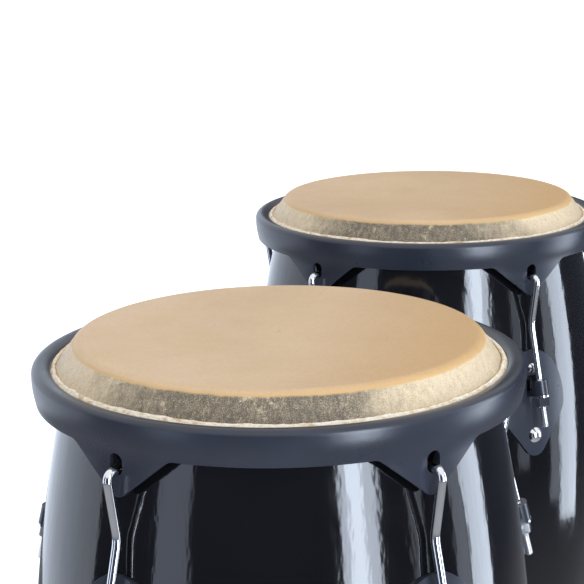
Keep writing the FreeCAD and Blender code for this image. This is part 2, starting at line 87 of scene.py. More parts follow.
CROWN_SHEET = 0.0027
CROWN_RADIUS = 0.1674
CROWN_RIDGE_DEPTH = 0.0160
CROWN_SHOULDER_BEND = 0.0046
CROWN_FLANK_BEND = 0.0160
CROWN_FLANK_TURN = math.radians(29)
CROWN_BAND_FOOT = 0.0230
CROWN_SKIRT_RADIUS = 0.1645
CROWN_SKIRT_DEPTH = 0.0480
CROWN_EDGE_DEPTH = 0.0398
CROWN_EDGE_ROUND = 0.0007
CROWN_LIP_ROUND = (0.0008, 0.0011)      # how far the lip's side and middle points stand out
EAR_HALF_WIDTH = 0.0360
EAR_TIP_DEPTH = 0.0690
EAR_TIP_RADIUS = 0.0080
EAR_ROOT_FILLET = 0.0090
SLOT_WIDTH = 0.0100
SLOT_DEPTHS = (0.0403, 0.0546)
SLOT_CUT_RADII = (0.152, 0.176)         # the cutting bar's two ends

ROD_RADIUS = 0.0030
HOOK_LEVEL_DEPTH = 0.0513
HOOK_TIP_RADIUS = 0.1552
HOOK_UPRIGHT_RADIUS = 0.1730
HOOK_KINK = (0.1658, 0.0960)            # radius, depth
HOOK_FOOT = (0.1895, 0.1870)
HOOK_OUTER_BEND = 0.0055
HOOK_KINK_BEND = 0.0250
HOOK_CHAMFER = 0.0008
THREAD_START_DEPTH = 0.1440
THREAD_PITCH = 0.0010
THREAD_DEPTH = 0.00045
RINGS_PER_PITCH = 10

SHELL_WALL = 0.0100
SHELL_NECK = (0.1412, 0.0120)           # radius, depth
SHELL_BELLY = (0.1768, 0.2960)
SHELL_FOOT = (0.1130, 0.7110)
SHELL_TOP = SKIN + 0.0001
BEARING_EDGE = ((-0.002, 0.0), (0.0, 0.0), (0.001, 0.0003), (0.003, 0.0016))  # past the flat, below the top


# --- Where each drum stands, read from the frame -----------------------------------------------
class Drum:
    """One drum's axis, the height of its head and the directions of its lugs."""

    def __init__(self, name):
        low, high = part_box(name + "_flesh_hoop")
        self.name = name
        self.axis = ((low.x + high.x) / 2, (low.y + high.y) / 2)
        self.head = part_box(name + "_head_skin")[1].z
        turns = [joint for joint in frame["joints"] if joint["name"].startswith(name + "_nut_turn")]
        self.lugs = []
        for joint in sorted(turns, key=lambda joint: joint["name"]):
            x, y, _ = joint["pos_m"]
            self.lugs.append(math.atan2(y - self.axis[1], x - self.axis[0]))
        self.shell_body = name + "_shell_assembly"
        self.crown_body = name + "_crown_assembly"

    def place(self, radius, angle, depth):
        """Points in the shared frame from radii, angles and depths (arrays or numbers)."""
        radius, angle, depth = np.broadcast_arrays(radius, angle, depth)
        x = self.axis[0] + radius * np.cos(angle)
        y = self.axis[1] + radius * np.sin(angle)
        return np.stack([x, y, self.head - depth], axis=-1)


# --- Mesh helpers ------------------------------------------------------------------------------
def new_object(name, vertices, faces, uvs=None):
    """Smooth mesh object from arrays; uvs holds one pair per vertex."""
    mesh = bpy.data.meshes.new(name)
    mesh.from_pydata(np.asarray(vertices).reshape(-1, 3).tolist(), [], faces)
    if uvs is not None:
        layer = mesh.uv_layers.new(name="along")
        corners = np.zeros(len(mesh.loops), dtype=np.int32)
        mesh.loops.foreach_get("vertex_index", corners)
        layer.data.foreach_set("uv", np.asarray(uvs, float).reshape(-1, 2)[corners].ravel())
    mesh.polygons.foreach_set("use_smooth", [True] * len(mesh.polygons))
    mesh.validate()
    mesh.update()
    piece = bpy.data.objects.new(name, mesh)
    bpy.context.scene.collection.objects.link(piece)
    return piece


def grid_faces(columns, rows, wrap_columns, wrap_rows):
    """Quads of a grid stored column by column."""
    faces = []
    for column in range(columns if wrap_columns else columns - 1):
        after = (column + 1) % columns
        for row in range(rows if wrap_rows else rows - 1):
            below = (row + 1) % rows
            faces.append((column * rows + row, column * rows + below,
                          after * rows + below, after * rows + row))
    return faces


def ring_object(name, drum, sections, angles):
    """Closed ring from one closed section (radius, depth) per angle, ordered outwards facing."""
    sections = np.asarray(sections, float)
    columns, rows, _ = sections.shape
    points = drum.place(sections[..., 0], np.asarray(angles)[:, None], sections[..., 1])
    steps = np.linalg.norm(np.diff(sections, axis=1, prepend=sections[:, :1]), axis=2)
    along = np.cumsum(steps, axis=1)
    around = np.repeat(np.asarray(angles)[:, None], rows, axis=1)
    uvs = np.stack([around, along], axis=-1)
    return new_object(name, points, grid_faces(columns, rows, True, True), uvs)


def arc_points(centre, radius, start, end, count):
    """Arc in (radius, depth): angles run from outwards towards the head."""
    turn = np.linspace(start, end, count)
    return np.stack([centre[0] + radius * np.cos(turn), centre[1] - radius * np.sin(turn)], axis=-1)


def line_points(start, end, count):
    """Points of a straight run, without its first one."""
    share = np.linspace(0, 1, count + 1)[1:, None]
    return np.asarray(start) + share * (np.asarray(end) - np.asarray(start))


def angles_round(columns):
    """Even angles round a full turn."""
    return np.linspace(0, FULL_TURN, columns, endpoint=False)


def mark_sharp(piece, degrees_limit):
    """Keeps edges that turn by more than a limit crisp."""
    piece.data.set_sharp_from_angle(angle=math.radians(degrees_limit))


def wave_noise(angles, seed, waves, roughness=1.0):
    """Sum of a few waves round the drum with fixed random phases, about -1 to 1."""
    draw = np.random.default_rng(seed)
    total = np.zeros_like(angles)
    size = 0.0
    for wave in waves:
        strength = wave ** -roughness
        total += strength * np.sin(wave * angles + draw.uniform(0, FULL_TURN))
        size += strength ** 2
    return total / math.sqrt(size)


# --- Materials ---------------------------------------------------------------------------------
class Shader:
    """A Principled material and short ways to add nodes to it."""

    def __init__(self, name):
        self.material = bpy.data.materials.new(name)
        self.material.use_nodes = True
        self.nodes = self.material.node_tree.nodes
        self.links = self.material.node_tree.links
        self.surface = self.nodes["Principled BSDF"]
        self.place = self.nodes.new("ShaderNodeTexCoord")

    def set(self, **values):
        """Constants set straight on the surface; underscores stand for spaces."""
        for name, value in values.items():
            self.surface.inputs[name.replace("_", " ")].default_value = value

    def feed(self, source, name):
        """Drives one input of the surface."""
        self.links.new(source, self.surface.inputs[name])

    def scaled(self, scale):
        """Object coordinates stretched along each axis."""
        node = self.nodes.new("ShaderNodeMapping")
        node.inputs["Scale"].default_value = scale
        self.links.new(self.place.outputs["Object"], node.inputs["Vector"])
        return node.outputs["Vector"]

    def noise(self, scale, detail=4.0, roughness=0.55, where=None):
        """Cloudy grey, about 0.5 on average."""
        node = self.nodes.new("ShaderNodeTexNoise")
        node.inputs["Scale"].default_value = scale
        node.inputs["Detail"].default_value = detail
        node.inputs["Roughness"].default_value = roughness
        self.links.new(where or self.place.outputs["Object"], node.inputs["Vector"])
        return node.outputs["Fac"]

    def cells(self, scale):
        """Distance to the nearest of many scattered points."""
        node = self.nodes.new("ShaderNodeTexVoronoi")
        node.inputs["Scale"].default_value = scale
        self.links.new(self.place.outputs["Object"], node.inputs["Vector"])
        return node.outputs["Distance"]

    def ramp(self, source, stops):
        """Colour or grey ramp; a stop is (position, grey) or (position, (r, g, b))."""
        node = self.nodes.new("ShaderNodeValToRGB")
        elements = node.color_ramp.elements
        while len(elements) < len(stops):
            elements.new(0.5)
        for element, (position, colour) in zip(elements, stops):
            element.position = position
            grey = (colour,) * 3 if isinstance(colour, (int, float)) else colour
            element.color = (*grey, 1.0)
        self.links.new(source, node.inputs["Fac"])
        return node.outputs["Color"]

    def mix(self, share, first, second, mode="MIX"):
        """Colour mix; each input is a socket or a constant."""
        node = self.nodes.new("ShaderNodeMix")
        node.data_type = "RGBA"
        node.blend_type = mode
        for name, value in (("Factor", share), ("A", first), ("B", second)):
            kind = "NodeSocketFloatFactor" if name == "Factor" else "NodeSocketColor"
            socket = next(s for s in node.inputs if s.name == name and s.bl_idname == kind)
            if isinstance(value, bpy.types.NodeSocket):
                self.links.new(value, socket)
            elif name == "Factor":
                socket.default_value = value
            else:
                socket.default_value = (*value, 1.0)
        return next(s for s in node.outputs if s.bl_idname == "NodeSocketColor")

    def math(self, operation, *values):
        """Arithmetic on sockets and constants."""
        node = self.nodes.new("ShaderNodeMath")
        node.operation = operation
        for socket, value in zip(node.inputs, values):
            if isinstance(value, bpy.types.NodeSocket):
                self.links.new(value, socket)
            else:
                socket.default_value = value
        return node.outputs["Value"]

    def axis(self, which):
        """X or Y of the piece's UV coordinates."""
        node = self.nodes.new("ShaderNodeSeparateXYZ")
        self.links.new(self.place.outputs["UV"], node.inputs["Vector"])
        return node.outputs[which]

    def bump(self, height, distance, strength, under=None):
        """Surface relief, laid over another one if it is given."""
        node = self.nodes.new("ShaderNodeBump")
        node.inputs["Distance"].default_value = distance
        node.inputs["Strength"].default_value = strength
        self.links.new(height, node.inputs["Height"])
        if under is not None:
            self.links.new(under, node.inputs["Normal"])
        self.links.new(node.outputs["Normal"], self.surface.inputs["Normal"])
        return node.outputs["Normal"]


def lacquer_material():
    """Deep gloss black lacquer with a faint ripple and fine dust."""
    s = Shader("black_lacquer")
    tone = s.ramp(s.noise(9.0), ((0.3, (0.0035, 0.0036, 0.0045)), (0.7, (0.006, 0.006, 0.0075))))
    dust = s.ramp(s.cells(900.0), ((0.0, (0.10, 0.10, 0.11)), (0.035, (0.0, 0.0, 0.0))))
    s.feed(s.mix(1.0, tone, dust, "ADD"), "Base Color")
    s.feed(s.ramp(s.noise(55.0, 5.0), ((0.3, 0.06), (0.75, 0.11))), "Roughness")
    s.set(Specular_IOR_Level=0.5, Coat_Weight=0.3, Coat_Roughness=0.05)
    ripple = s.noise(1.0, 3.0, 0.6, where=s.scaled((60.0, 60.0, 14.0)))
    under = s.bump(ripple, 0.0006, 0.5)
    s.bump(s.noise(330.0, 2.0), 0.00004, 0.4, under)
    return s.material


def rim_material():
    """Satin black powder coat: fine orange peel, scuffs and a little dust."""
    s = Shader("rim_powder_coat")
    tone = s.ramp(s.noise(14.0, 6.0), ((0.25, (0.0130, 0.0158, 0.0260)), (0.75, (0.0235, 0.0280, 0.0440))))
    specks = s.ramp(s.cells(420.0), ((0.0, (0.16, 0.17, 0.19)), (0.045, (0.0, 0.0, 0.0))))
    s.feed(s.mix(0.6, tone, specks, "ADD"), "Base Color")
    s.feed(s.ramp(s.noise(30.0, 7.0, 0.65), ((0.25, 0.25), (0.75, 0.34))), "Roughness")
    s.set(Specular_IOR_Level=0.55)
    grain = s.noise(1500.0, 2.0, 0.5)
    under = s.bump(grain, 0.00006, 0.5)
    s.bump(s.noise(170.0, 3.0), 0.00012, 0.35, under)
    return s.material


def chrome_material():
    """Bright chrome with slight haze and hairline marks."""
    s = Shader("bright_chrome")
    s.feed(s.ramp(s.noise(60.0, 5.0), ((0.3, (0.70, 0.71, 0.73)), (0.7, (0.80, 0.81, 0.83)))), "Base Color")
    s.feed(s.ramp(s.noise(240.0, 6.0, 0.7), ((0.3, 0.06), (0.8, 0.16))), "Roughness")
    s.set(Metallic=1.0)
    s.bump(s.noise(900.0, 3.0), 0.00003, 0.3)
    return s.material


def steel_material():
    """Dull zinc plate for the hardware inside."""
    s = Shader("zinc_plate")
    s.feed(s.ramp(s.noise(90.0, 6.0), ((0.3, (0.42, 0.42, 0.41)), (0.7, (0.58, 0.58, 0.56)))), "Base Color")
    s.feed(s.ramp(s.noise(160.0, 5.0), ((0.3, 0.30), (0.7, 0.5))), "Roughness")
    s.set(Metallic=1.0)
    return s.material


def rubber_material():
    """Matt black rubber, slightly dusty."""
    s = Shader("black_rubber")
    s.feed(s.ramp(s.noise(35.0, 8.0), ((0.3, (0.012, 0.012, 0.013)), (0.75, (0.030, 0.029, 0.028)))),
           "Base Color")
    s.feed(s.ramp(s.noise(80.0, 5.0), ((0.3, 0.62), (0.7, 0.82))), "Roughness")
    s.bump(s.noise(700.0, 4.0), 0.0001, 0.5)
    return s.material


HIDE_PAINTED_WARM_LIGHT_SIDE = math.radians(272)       # where painted warm light makes the flat warmest, round the drum
HIDE_DARK_SIDE = math.radians(186)       # where the slope is darkest


def hide_flat(s, reach, bearing):
    """Tan playing surface: clouds, a side warmed by painted warm light, pores and fine mottling."""
    cloud = s.noise(7.0, 5.0, 0.6, where=s.scaled((1.0, 1.0, 0.2)))
    flat = s.ramp(cloud, ((0.30, (0.555, 0.38, 0.213)), (0.70, (0.645, 0.462, 0.284))))
    # Painted warm light: the flat turns warmer towards one side of the drum, more so towards its edge.
    toward_warm_lit_side = s.math("COSINE", s.math("SUBTRACT", bearing, HIDE_PAINTED_WARM_LIGHT_SIDE))
    painted_warm_light = s.ramp(s.math("MULTIPLY", toward_warm_lit_side, s.math("MULTIPLY", reach, 7.0)), ((0.15, 0.0), (0.85, 0.9)))
    flat = s.mix(painted_warm_light, flat, (0.555, 0.345, 0.150))
    pores = s.ramp(s.cells(1300.0), ((0.02, (0.62, 0.50, 0.36)), (0.16, (1.0, 1.0, 1.0))))
    flat = s.mix(0.35, flat, pores, "MULTIPLY")
    mottle = s.ramp(s.noise(420.0, 5.0, 0.7), ((0.30, (0.88, 0.86, 0.82)), (0.65, (1.06, 1.06, 1.06))))
    return s.mix(0.6, flat, mottle, "MULTIPLY")


def hide_slope(s, bearing):
    """Raw slope: fine grey speckle towards one side, cream on the other, scraped in places."""
    grain = s.noise(1500.0, 3.0, 0.8)
    streak = s.noise(1.0, 5.0, 0.7, where=s.scaled((260.0, 260.0, 90.0)))
    speckle = s.math("ADD", grain, s.math("MULTIPLY_ADD", streak, 0.45, -0.22))
    dark = s.ramp(speckle, ((0.34, (0.070, 0.058, 0.042)), (0.52, (0.165, 0.135, 0.096)),
                            (0.68, (0.50, 0.40, 0.26))))
    light = s.ramp(speckle, ((0.30, (0.36, 0.275, 0.165)), (0.50, (0.63, 0.50, 0.33)),
                             (0.70, (0.74, 0.61, 0.42))))
    facing = s.math("COSINE", s.math("SUBTRACT", bearing, HIDE_DARK_SIDE))
    blotch = s.math("MULTIPLY_ADD", s.noise(24.0, 6.0, 0.7), 0.5, -0.25)
    patch = s.ramp(s.math("ADD", facing, blotch), ((0.69, 0.0), (0.93, 1.0)))
    scraped = s.ramp(s.noise(60.0, 7.0, 0.75), ((0.59, 0.0), (0.66, 0.8)))
    return s.mix(scraped, s.mix(patch, light, dark), (0.64, 0.53, 0.35))


def hide_material():
    """Natural hide: tan flat, thin golden line along the bend (partly its own tint, partly painted shading) and a
    mottled slope.
    """
    s = Shader("natural_hide")
    reach = s.axis("Y")                      # distance along the skin from the head's centre
    bearing = s.axis("X")                    # angle round the drum
    slope_start = HEAD_FLAT_RADIUS + HEAD_BEND_RADIUS * HEAD_SLOPE
    band = s.math("MULTIPLY_ADD", s.math("SUBTRACT", reach, slope_start), 50.0, 0.5)
    wander = s.math("MULTIPLY_ADD", s.noise(75.0, 7.0, 0.75), 0.16, -0.08)
    ragged = s.math("ADD", band, wander)     # 0.5 where the slope starts, 1 step for each 20 mm
    # The golden line along the bend is partly the hide's own tint and partly painted shading of the bend.
    bend_tint_and_shading = s.ramp(ragged, ((0.36, 0.0), (0.44, 0.65), (0.50, 0.65), (0.56, 0.0)))
    toned = s.mix(bend_tint_and_shading, hide_flat(s, reach, bearing), (0.60, 0.37, 0.135))
    on_slope = s.ramp(ragged, ((0.47, 0.0), (0.54, 1.0)))
    s.feed(s.mix(on_slope, toned, hide_slope(s, bearing)), "Base Color")
    s.feed(s.ramp(s.noise(45.0, 5.0), ((0.3, 0.42), (0.7, 0.56))), "Roughness")
    s.set(Specular_IOR_Level=0.45, Subsurface_Weight=0.06, Subsurface_Radius=(0.004, 0.002, 0.001))
    under = s.bump(s.noise(900.0, 4.0, 0.6), 0.00008, 0.6)
    s.bump(s.noise(60.0, 4.0), 0.0004, 0.35, under)
    return s.material


def cut_edge_material():
    """Cut edge of the hide: pale fibres with brown stains."""
    s = Shader("hide_cut_edge")
    fibre = s.noise(1.0, 6.0, 0.7, where=s.scaled((220.0, 220.0, 900.0)))
    pale = s.ramp(fibre, ((0.30, (0.50, 0.34, 0.17)), (0.43, (0.78, 0.65, 0.46)), (0.60, (0.93, 0.87, 0.76))))
    stain = s.ramp(s.noise(85.0, 4.0, 0.6), ((0.56, 0.0), (0.72, 1.0)))
    s.feed(s.mix(stain, pale, (0.50, 0.30, 0.12)), "Base Color")
    s.set(Roughness=0.65, Specular_IOR_Level=0.35)
    s.bump(fibre, 0.0003, 0.7)
    return s.material


MATERIALS = {
    "shell_lacquer": lacquer_material(),
    "rim_coating": rim_material(),
    "plate_coating": rim_material(),
    "bright_chrome": chrome_material(),
    "bare_steel": steel_material(),
    "base_rubber": rubber_material(),
    "drum_skin": hide_material(),
    "cut_edge": cut_edge_material(),
}


def dress(piece, material):
    """Gives a piece one material."""
    piece.data.materials.clear()
    piece.data.materials.append(material)


def finish_piece(piece, body, slot_name, *nodes):
    """Gives a new piece its material and its body, and hides the CAD nodes that it stands for."""
    dress(piece, MATERIALS[slot_name])
    if body:
        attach(piece, body)
    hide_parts(*nodes)


# --- Head --------------------------------------------------------------------------------------
def skin_face(inset):
    """One face of the skin from the centre to the lap, as (radius, depth) points."""
    bend_centre = (HEAD_FLAT_RADIUS, HEAD_BEND_RADIUS)
    centre = (HEAD_CENTRE_GAP, inset)
    flat = line_points(centre, (HEAD_FLAT_RADIUS, inset), 46)
    bend = arc_points(bend_centre, HEAD_BEND_RADIUS - inset, math.pi / 2, math.pi / 2 - HEAD_SLOPE, 15)[1:]
    fall = HEAD_END_DEPTH - bend[-1][1]
    slope = line_points(bend[-1], bend[-1] + (fall / math.tan(HEAD_SLOPE), fall), 30)
    return np.vstack([[centre], flat, bend, slope])


def head_piece(drum, seed):
    """Playing skin down to the flesh hoop; it stretches between the shell and the crown."""
    columns = 540
    angles = angles_round(columns)
    top = skin_face(0.0)
    under = skin_face(SKIN)[::-1]
    section = np.vstack([top, under])
    sections = np.repeat(section[None], columns, axis=0)
    pucker_start, pucker_full = PUCKER_DEPTHS
    on_slope = np.clip((section[:, 1] - pucker_start) / (pucker_full - pucker_start), 0, 1)
    pucker = wave_noise(angles, seed, range(3, 40), 0.35)
    sections[..., 0] += PUCKER * pucker[:, None] * on_slope[None]
    piece = ring_object(drum.name + "_head", drum, sections, angles)
    finish_piece(piece, None, "drum_skin", drum.name + "_head_skin")
    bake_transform(piece)


def lap_piece(drum, seed):
    """Skin lapped over the flesh hoop, its trimmed end standing up uneven inside the crown."""
    columns = 1080
    angles = angles_round(columns)
    ragged = wave_noise(angles, seed, (3, 5, 8, 13, 21, 34, 55, 89, 144), 0.25)
    thick = wave_noise(angles, seed + 1, (4, 7, 11, 18, 29, 47, 76), 0.3)
    lean = wave_noise(angles, seed + 2, (2, 3, 5, 9, 14, 23), 0.4)
    hoop = (HOOP_RADIUS, HOOP_DEPTH)
    outer = arc_points(hoop, LAP, *LAP_TURN, 30)
    inner = arc_points(hoop, HOOP_ROD + HOOP_GAP, *LAP_TURN[::-1], 30)
    strip = ((0.0, -1.0), (0.5, -1.0), (0.90, -1.0), (0.98, -0.7), (1.0, -0.2), (1.0, 0.3),
             (0.98, 0.75), (0.90, 1.0), (0.5, 1.0), (0.1, 1.0))     # shares of length and half width
    sections = []
    for rag, width, tilt in zip(ragged, thick, lean):
        length = TRIM_LENGTH[0] + TRIM_LENGTH[1] * rag
        half = TRIM_HALF_WIDTH[0] + TRIM_HALF_WIDTH[1] * width
        sway = TRIM_ACROSS * TRIM_SWAY * tilt
        end = [TRIM_ROOT + TRIM_ALONG * (length * rise) + TRIM_ACROSS * (half * side) + sway * rise
               for rise, side in strip]
        sections.append(np.vstack([end, outer, inner]))
    piece = ring_object(drum.name + "_skin_lap", drum, sections, angles)
    finish_piece(piece, drum.crown_body, "drum_skin", drum.name + "_skin_tuck")
    dress(piece, MATERIALS["cut_edge"])


# --- Crown -------------------------------------------------------------------------------------
def ear_depth(across):
    """Depth of the crown's lower edge at distances across from the middle of an ear."""
    across = np.abs(across)
    slope = math.atan2(EAR_TIP_DEPTH - CROWN_EDGE_DEPTH, EAR_HALF_WIDTH)
    tip_across = EAR_TIP_RADIUS * math.sin(slope)
    tip_depth = EAR_TIP_DEPTH - EAR_TIP_RADIUS * (1 - math.cos(slope))
    side = tip_depth - (across - tip_across) * math.tan(slope)
    root = tip_across + (tip_depth - CROWN_EDGE_DEPTH) / math.tan(slope)
    run = EAR_ROOT_FILLET * math.tan(slope / 2)
    tip = EAR_TIP_DEPTH - EAR_TIP_RADIUS
    rounded_tip = tip + np.sqrt(np.clip(EAR_TIP_RADIUS ** 2 - across ** 2, 0, None))
    fillet_reach = np.clip(root + run - across, 0, EAR_ROOT_FILLET)
    fillet = CROWN_EDGE_DEPTH + EAR_ROOT_FILLET - np.sqrt(EAR_ROOT_FILLET ** 2 - fillet_reach ** 2)
    depth = np.where(across < tip_across, rounded_tip, side)
    depth = np.where(across > root - run * math.cos(slope), fillet, depth)
    return np.where(across > root + run, CROWN_EDGE_DEPTH, depth)


def skirt_radius(depth):
    """Outside radius of the crown's sheet below its ridge."""
    height = CROWN_SKIRT_DEPTH - CROWN_BAND_FOOT
    step = CROWN_RADIUS - CROWN_SKIRT_RADIUS
    curl = (height ** 2 + step ** 2) / (4 * step)
    above = np.clip(depth - CROWN_BAND_FOOT, 0, height / 2)
    below = np.clip(CROWN_SKIRT_DEPTH - depth, 0, height / 2)
    curl_in = CROWN_RADIUS - curl + np.sqrt(curl ** 2 - above ** 2)
    curl_down = CROWN_SKIRT_RADIUS + curl - np.sqrt(curl ** 2 - below ** 2)
    return np.where(depth < CROWN_BAND_FOOT + height / 2, curl_in, curl_down)


def crown_face(inset, edge_depth):
    """One face of the crown's sheet, from its lip to just above its lower edge."""
    ridge = CROWN_RADIUS - CROWN_SHOULDER_BEND
    flank = arc_points((ridge, CROWN_RIDGE_DEPTH + CROWN_FLANK_BEND), CROWN_FLANK_BEND - inset,
                       math.pi / 2 + CROWN_FLANK_TURN, math.pi / 2, 14)
    shoulder = arc_points((ridge, CROWN_RIDGE_DEPTH + CROWN_SHOULDER_BEND), CROWN_SHOULDER_BEND - inset,
                          math.pi / 2, 0, 16)[1:]
    depths = np.linspace(CROWN_BAND_FOOT, edge_depth, 34)
    skirt = np.stack([skirt_radius(depths) - inset, depths], axis=-1)
    return np.vstack([flank, shoulder, skirt])


def crown_section(edge_depth):
    """Closed section of the crown where its lower edge is at a depth."""
    rounding = CROWN_EDGE_ROUND
    foot_depth = edge_depth - rounding
    foot_radius = float(skirt_radius(np.array(foot_depth)))
    outer = crown_face(0.0, foot_depth)
    inner = crown_face(CROWN_SHEET, foot_depth)
    outer_foot = arc_points((foot_radius - rounding, foot_depth), rounding, 0, -math.pi / 2, 5)[1:]
    inner_foot = arc_points((foot_radius - CROWN_SHEET + rounding, foot_depth), rounding,
                            -math.pi / 2, -math.pi, 5)[:-1]
    lip_turn = math.pi / 2 + CROWN_FLANK_TURN
    beyond_lip = np.array([-math.sin(lip_turn), -math.cos(lip_turn)])
    middle = (outer[0] + inner[0]) / 2
    side_out, middle_out = CROWN_LIP_ROUND
    lip = [(middle + inner[0]) / 2 + side_out * beyond_lip, middle + middle_out * beyond_lip,
           (middle + outer[0]) / 2 + side_out * beyond_lip]
    return np.vstack([outer, outer_foot, inner_foot, inner[::-1], lip])


def slot_cutter(drum):
    """Upright round-ended bars where the hooks pass through the ears."""
    half = SLOT_WIDTH / 2
    corners = []
    for centre_depth, start in ((SLOT_DEPTHS[0] + half, 0.0), (SLOT_DEPTHS[1] - half, math.pi)):
        for turn in np.linspace(start, start + math.pi, 17):
            corners.append((half * math.cos(turn), centre_depth - half * math.sin(turn)))
    count = len(corners)
    vertices = []
    faces = []
    for lug in drum.lugs:
        base = len(vertices)
        for reach in SLOT_CUT_RADII:
            for across, depth in corners:
                x = drum.axis[0] + reach * math.cos(lug) - across * math.sin(lug)
                y = drum.axis[1] + reach * math.sin(lug) + across * math.cos(lug)
                vertices.append((x, y, drum.head - depth))
        faces.append([base + k for k in reversed(range(count))])
        faces.append([base + count + k for k in range(count)])
        for k in range(count):
            after = (k + 1) % count
            faces.append([base + k, base + after, base + count + after, base + count + k])
    return new_object(drum.name + "_slot_cutter", vertices, faces)


def cut_away(piece, cutter):
    """Boolean difference, applied, with the cutter removed."""
    modifier = piece.modifiers.new("slots", "BOOLEAN")
    modifier.operation = "DIFFERENCE"
    modifier.solver = "EXACT"
    modifier.object = cutter
    graph = bpy.context.evaluated_depsgraph_get()
    result = bpy.data.meshes.new_from_object(piece.evaluated_get(graph))
    piece.modifiers.clear()
    piece.data = result
    bpy.data.objects.remove(cutter)


def crown_piece(drum):
    """Rolled rim with five slotted ears."""
    columns = 1440
    angles = angles_round(columns)
    lugs = np.array(drum.lugs)
    away = (angles[:, None] - lugs[None] + math.pi) % FULL_TURN - math.pi
    nearest = away[np.arange(columns), np.abs(away).argmin(axis=1)]
    across = CROWN_SKIRT_RADIUS * np.sin(nearest)
    sections = [crown_section(depth) for depth in ear_depth(across)]
    piece = ring_object(drum.name + "_rim", drum, sections, angles)
    cut_away(piece, slot_cutter(drum))
    mark_sharp(piece, 50)
    finish_piece(piece, drum.crown_body, "rim_coating", drum.name + "_crown")


# --- Hooks -------------------------------------------------------------------------------------
def rounded_corner(before, corner, after, bend, count):
    """Points of the arc that rounds a corner of a path in (radius, depth)."""
    to_before = (before - corner) / np.linalg.norm(before - corner)
    to_after = (after - corner) / np.linalg.norm(after - corner)
    half = math.acos(float(to_before @ to_after)) / 2
    centre = corner + (to_before + to_after) / np.linalg.norm(to_before + to_after) * bend / math.sin(half)
    start = corner + to_before * bend / math.tan(half) - centre
    end = corner + to_after * bend / math.tan(half) - centre
    sweep = math.atan2(start[0] * end[1] - start[1] * end[0], float(start @ end))
    points = []
    for turn in np.linspace(0, sweep, count):
        c, s = math.cos(turn), math.sin(turn)
        points.append(centre + (start[0] * c - start[1] * s, start[0] * s + start[1] * c))
    return points


def hook_centreline():
    """Centreline of a hook in (radius, depth), from its tip behind the ear to its foot."""
    lean = math.atan2(HOOK_UPRIGHT_RADIUS - HOOK_KINK[0], HOOK_KINK[1] - HOOK_LEVEL_DEPTH)
    tip = np.array([HOOK_TIP_RADIUS, HOOK_LEVEL_DEPTH])
    # The corner stands out a little, so that the rounded rod reaches the upright's radius.
    top = np.array([HOOK_UPRIGHT_RADIUS + 0.5 * HOOK_OUTER_BEND * math.sin(lean), HOOK_LEVEL_DEPTH])
    kink = np.array(HOOK_KINK)
    foot = np.array(HOOK_FOOT)
    bend = rounded_corner(tip, top, kink, HOOK_OUTER_BEND, 18)
    elbow = rounded_corner(top, kink, foot, HOOK_KINK_BEND, 12)
    thread_share = (THREAD_START_DEPTH - elbow[-1][1]) / (foot[1] - elbow[-1][1])
    thread_start = elbow[-1] + thread_share * (foot - elbow[-1])
    thread_length = float(np.linalg.norm(foot - thread_start))
    thread_rings = int(thread_length / THREAD_PITCH * RINGS_PER_PITCH)
    points = [line_points(tip, bend[0], 4)[:-1], bend, line_points(bend[-1], elbow[0], 6)[:-1], elbow,
              line_points(elbow[-1], thread_start, 10), line_points(thread_start, foot, thread_rings)]
    return np.vstack([[tip]] + points), thread_length


def hook_radius(along, turns, thread_length):
    """Radius of the rod at distances along it and angles round it: thread and end chamfers."""
    to_end = along[-1] - along[:, None]
    into_thread = along[:, None] - (along[-1] - thread_length)
    phase = (into_thread / THREAD_PITCH - turns[None] / FULL_TURN) % 1.0
    # Once each pitch: a sloping groove between narrow flat crests, with a narrow flat bottom.
    groove = np.clip(1.25 * (1 - np.abs(2 * phase - 1)) - 0.12, 0, 1)
    fade = np.clip(into_thread / (2 * THREAD_PITCH), 0, 1) * np.clip(to_end / THREAD_PITCH, 0, 1)
    from_end = np.minimum(along[:, None], to_end)
    chamfer = HOOK_CHAMFER * np.clip(1 - from_end / HOOK_CHAMFER, 0, 1)
    return ROD_RADIUS - THREAD_DEPTH * groove * fade - chamfer


def hook_piece(drum, lug):
    """Bent chrome rod with a cut thread on its lower end."""
    path, thread_length = hook_centreline()
    along = np.cumsum(np.linalg.norm(np.diff(path, axis=0, prepend=path[:1]), axis=1))
    tangent = np.gradient(path, axis=0)
    tangent /= np.linalg.norm(tangent, axis=1)[:, None]
    sides = 28
    turns = angles_round(sides)
    radius = hook_radius(along, turns, thread_length)
    angle = drum.lugs[lug - 1]
    outwards = np.array([math.cos(angle), math.sin(angle), 0.0])
    sideways = np.array([-math.sin(angle), math.cos(angle), 0.0])
    centre = drum.place(path[:, 0], angle, path[:, 1])
    normal = np.outer(tangent[:, 1], outwards) + np.outer(tangent[:, 0], (0.0, 0.0, 1.0))
    rings = centre[:, None] + radius[..., None] * (np.cos(turns)[None, :, None] * normal[:, None]
                                                   + np.sin(turns)[None, :, None] * sideways)
    rows = len(path)
    faces = grid_faces(rows, sides, False, True)
    faces.append(list(range(sides)))
    faces.append([(rows - 1) * sides + k for k in reversed(range(sides))])
    uvs = np.stack(np.broadcast_arrays(turns[None] * ROD_RADIUS, along[:, None]), axis=-1)
    piece = new_object(f"{drum.name}_hook_rod_{lug}", rings, faces, uvs)
    mark_sharp(piece, 60)
    finish_piece(piece, f"{drum.name}_hook_{lug}", "bright_chrome", f"{drum.name}_tension_hook_{lug}")


# --- Shell -------------------------------------------------------------------------------------
def swell(end):
    """Radius of the arc that leaves the belly upright and reaches one end of the shell."""
    rise = end[1] - SHELL_BELLY[1]
    run = SHELL_BELLY[0] - end[0]
    return (rise ** 2 + run ** 2) / (2 * run)


